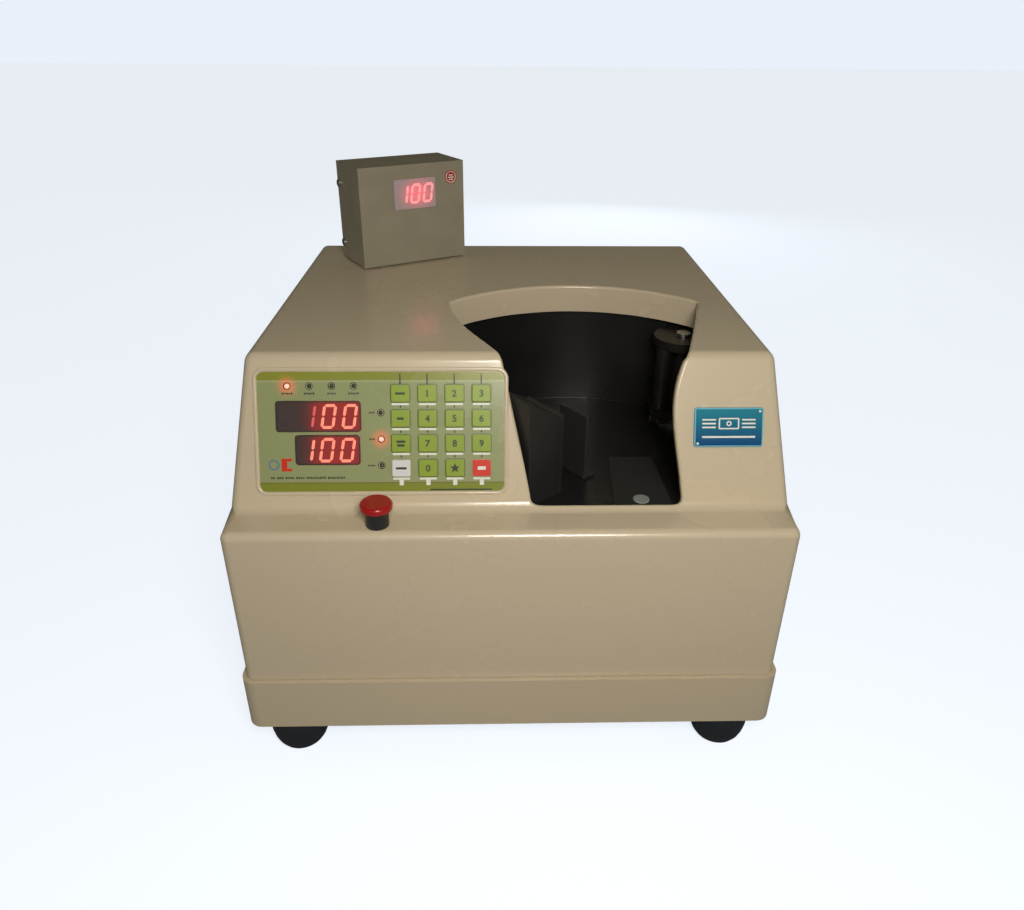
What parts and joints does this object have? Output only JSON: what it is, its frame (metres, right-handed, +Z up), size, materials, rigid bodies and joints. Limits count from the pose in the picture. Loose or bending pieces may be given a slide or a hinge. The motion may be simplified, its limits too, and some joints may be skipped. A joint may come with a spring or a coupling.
{
  "type": "banknote counting machine",
  "caption": "Desktop machine that counts a bundle of notes with a vacuum head, in a beige casing with keypad, lit counters, note pocket and customer display.",
  "frame": {"origin": "on the floor, under the centre of the base pan's footprint", "axes": "+X towards the operator's right, +Y from the operator to the back, +Z up"},
  "size_m": [0.3384, 0.3154, 0.3292],
  "materials": {
    "casing": "gel-coated glass-fibre moulding, ivory beige, high gloss",
    "pan": "ivory beige gloss paint on sheet steel",
    "rubber": "black moulded rubber, matt",
    "steel": "zinc-plated steel",
    "frame": "grey powder coat",
    "rear": "black fine-textured powder coat",
    "black": "black moulded plastic",
    "tray": "black satin paint on sheet steel",
    "plate": "dark grey satin",
    "overlay": "sage green printed film with olive bands",
    "key": "yellow-green moulded keys",
    "key_light": "white-grey moulded key",
    "key_red": "red moulded key",
    "window": "dark red filter over lit digits",
    "board": "green circuit board",
    "lamp": "clear red lamp domes",
    "badge": "blue enamelled plate with a pale rim",
    "button": "red glossy plastic",
    "lens": "pale grey lens",
    "head": "dark anodised, satin",
    "cast": "as cast",
    "motor": "dark grey paint",
    "copper": "varnished laminations and windings",
    "unit": "grey-olive hammer paint",
    "pane": "clear pane over lit digits"
  },
  "bodies": {
    "machine": {"casing": "casing", "base_pan": "pan", "deck_frame": "frame", "rear_panel": "rear", "m4_screws": "steel", "rubber_feet": "rubber", "power_inlet": "black", "panel_overlay": "overlay", "display_windows": "window", "led_displays": "black", "panel_board": "board", "status_leds": "lamp", "button_bushing": "black", "button_switch": "black", "badge_plate": "badge", "pocket_tray": "tray", "floor_plate": "plate", "sensor_lens": "lens", "clamp_block": "tray", "clamp_anvil": "tray", "head_housing": "cast", "head_bearings": "steel", "head_motor": "motor", "drive_belt": "rubber", "vacuum_pump": "motor", "vacuum_hose": "rubber", "control_board": "board", "transformer": "copper", "swivel_stud": "steel"},
    "rocker": {"power_rocker": "black"},
    "key_mode": {"key_mode": "key"},
    "key_1": {"key_1": "key"},
    "key_2": {"key_2": "key"},
    "key_3": {"key_3": "key"},
    "key_add": {"key_add": "key"},
    "key_4": {"key_4": "key"},
    "key_5": {"key_5": "key"},
    "key_6": {"key_6": "key"},
    "key_auto": {"key_auto": "key"},
    "key_7": {"key_7": "key"},
    "key_8": {"key_8": "key"},
    "key_9": {"key_9": "key"},
    "key_start": {"key_start": "key_light"},
    "key_0": {"key_0": "key"},
    "key_star": {"key_star": "key"},
    "key_clear": {"key_clear": "key_red"},
    "start_button": {"button_cap": "button"},
    "clamp": {"clamp_jaw": "plate"},
    "head": {"head_drum": "head", "head_shaft": "steel", "head_pulley": "cast"},
    "spindle_1": {"spindle_1": "head"},
    "spindle_2": {"spindle_2": "head"},
    "spindle_3": {"spindle_3": "head"},
    "motor_wheel": {"motor_pulley": "cast"},
    "customer_display": {"display_case": "unit", "display_back": "unit", "display_lens": "pane", "display_board": "board", "m3_screws": "steel"}
  },
  "joints": [
    {"name": "rocker_tilt", "type": "hinge", "parent": "machine", "child": "rocker", "pos_m": [0.042, 0.1475, 0.112], "axis": [1, 0, 0], "range_deg": [0, 16]},
    {"name": "key_mode_press", "type": "slide", "parent": "machine", "child": "key_mode", "axis": [0, 0.9269, -0.3752], "range_m": [0, 0.0008], "stiffness_N_per_m": 1000},
    {"name": "key_1_press", "type": "slide", "parent": "machine", "child": "key_1", "axis": [0, 0.9269, -0.3752], "range_m": [0, 0.0008], "stiffness_N_per_m": 1000},
    {"name": "key_2_press", "type": "slide", "parent": "machine", "child": "key_2", "axis": [0, 0.9269, -0.3752], "range_m": [0, 0.0008], "stiffness_N_per_m": 1000},
    {"name": "key_3_press", "type": "slide", "parent": "machine", "child": "key_3", "axis": [0, 0.9269, -0.3752], "range_m": [0, 0.0008], "stiffness_N_per_m": 1000},
    {"name": "key_add_press", "type": "slide", "parent": "machine", "child": "key_add", "axis": [0, 0.9269, -0.3752], "range_m": [0, 0.0008], "stiffness_N_per_m": 1000},
    {"name": "key_4_press", "type": "slide", "parent": "machine", "child": "key_4", "axis": [0, 0.9269, -0.3752], "range_m": [0, 0.0008], "stiffness_N_per_m": 1000},
    {"name": "key_5_press", "type": "slide", "parent": "machine", "child": "key_5", "axis": [0, 0.9269, -0.3752], "range_m": [0, 0.0008], "stiffness_N_per_m": 1000},
    {"name": "key_6_press", "type": "slide", "parent": "machine", "child": "key_6", "axis": [0, 0.9269, -0.3752], "range_m": [0, 0.0008], "stiffness_N_per_m": 1000},
    {"name": "key_auto_press", "type": "slide", "parent": "machine", "child": "key_auto", "axis": [0, 0.9269, -0.3752], "range_m": [0, 0.0008], "stiffness_N_per_m": 1000},
    {"name": "key_7_press", "type": "slide", "parent": "machine", "child": "key_7", "axis": [0, 0.9269, -0.3752], "range_m": [0, 0.0008], "stiffness_N_per_m": 1000},
    {"name": "key_8_press", "type": "slide", "parent": "machine", "child": "key_8", "axis": [0, 0.9269, -0.3752], "range_m": [0, 0.0008], "stiffness_N_per_m": 1000},
    {"name": "key_9_press", "type": "slide", "parent": "machine", "child": "key_9", "axis": [0, 0.9269, -0.3752], "range_m": [0, 0.0008], "stiffness_N_per_m": 1000},
    {"name": "key_start_press", "type": "slide", "parent": "machine", "child": "key_start", "axis": [0, 0.9269, -0.3752], "range_m": [0, 0.0008], "stiffness_N_per_m": 1000},
    {"name": "key_0_press", "type": "slide", "parent": "machine", "child": "key_0", "axis": [0, 0.9269, -0.3752], "range_m": [0, 0.0008], "stiffness_N_per_m": 1000},
    {"name": "key_star_press", "type": "slide", "parent": "machine", "child": "key_star", "axis": [0, 0.9269, -0.3752], "range_m": [0, 0.0008], "stiffness_N_per_m": 1000},
    {"name": "key_clear_press", "type": "slide", "parent": "machine", "child": "key_clear", "axis": [0, 0.9269, -0.3752], "range_m": [0, 0.0008], "stiffness_N_per_m": 1000},
    {"name": "start_button_press", "type": "slide", "parent": "machine", "child": "start_button", "axis": [0, 0, -1], "range_m": [0, 0.0012], "stiffness_N_per_m": 500},
    {"name": "clamp_close", "type": "slide", "parent": "machine", "child": "clamp", "axis": [0.809, 0.5878, 0], "range_m": [0, 0.014]},
    {"name": "head_spin", "type": "hinge", "parent": "machine", "child": "head", "pos_m": [0.121, -0.0025, 0.19], "axis": [0, 0, 1], "continuous": true},
    {"name": "spindle_1_spin", "type": "hinge", "parent": "head", "child": "spindle_1", "pos_m": [0.121, 0.0135, 0.19], "axis": [0, 0, 1], "continuous": true},
    {"name": "spindle_2_spin", "type": "hinge", "parent": "head", "child": "spindle_2", "pos_m": [0.10714, -0.0105, 0.19], "axis": [0, 0, 1], "continuous": true},
    {"name": "spindle_3_spin", "type": "hinge", "parent": "head", "child": "spindle_3", "pos_m": [0.13486, -0.0105, 0.19], "axis": [0, 0, 1], "continuous": true},
    {"name": "motor_spin", "type": "hinge", "parent": "machine", "child": "motor_wheel", "pos_m": [0.078, 0.0775, 0.121], "axis": [0, 0, 1], "continuous": true},
    {"name": "display_turn", "type": "hinge", "parent": "machine", "child": "customer_display", "pos_m": [-0.0805, 0.116, 0.256], "axis": [0, 0, 1], "range_deg": [-60, 60]}
  ],
  "couplings": [
    {"joint": "spindle_1_spin", "follows": "head_spin", "ratio": 2},
    {"joint": "spindle_2_spin", "follows": "head_spin", "ratio": 2},
    {"joint": "spindle_3_spin", "follows": "head_spin", "ratio": 2},
    {"joint": "motor_spin", "follows": "head_spin", "ratio": 2.4444}
  ]
}
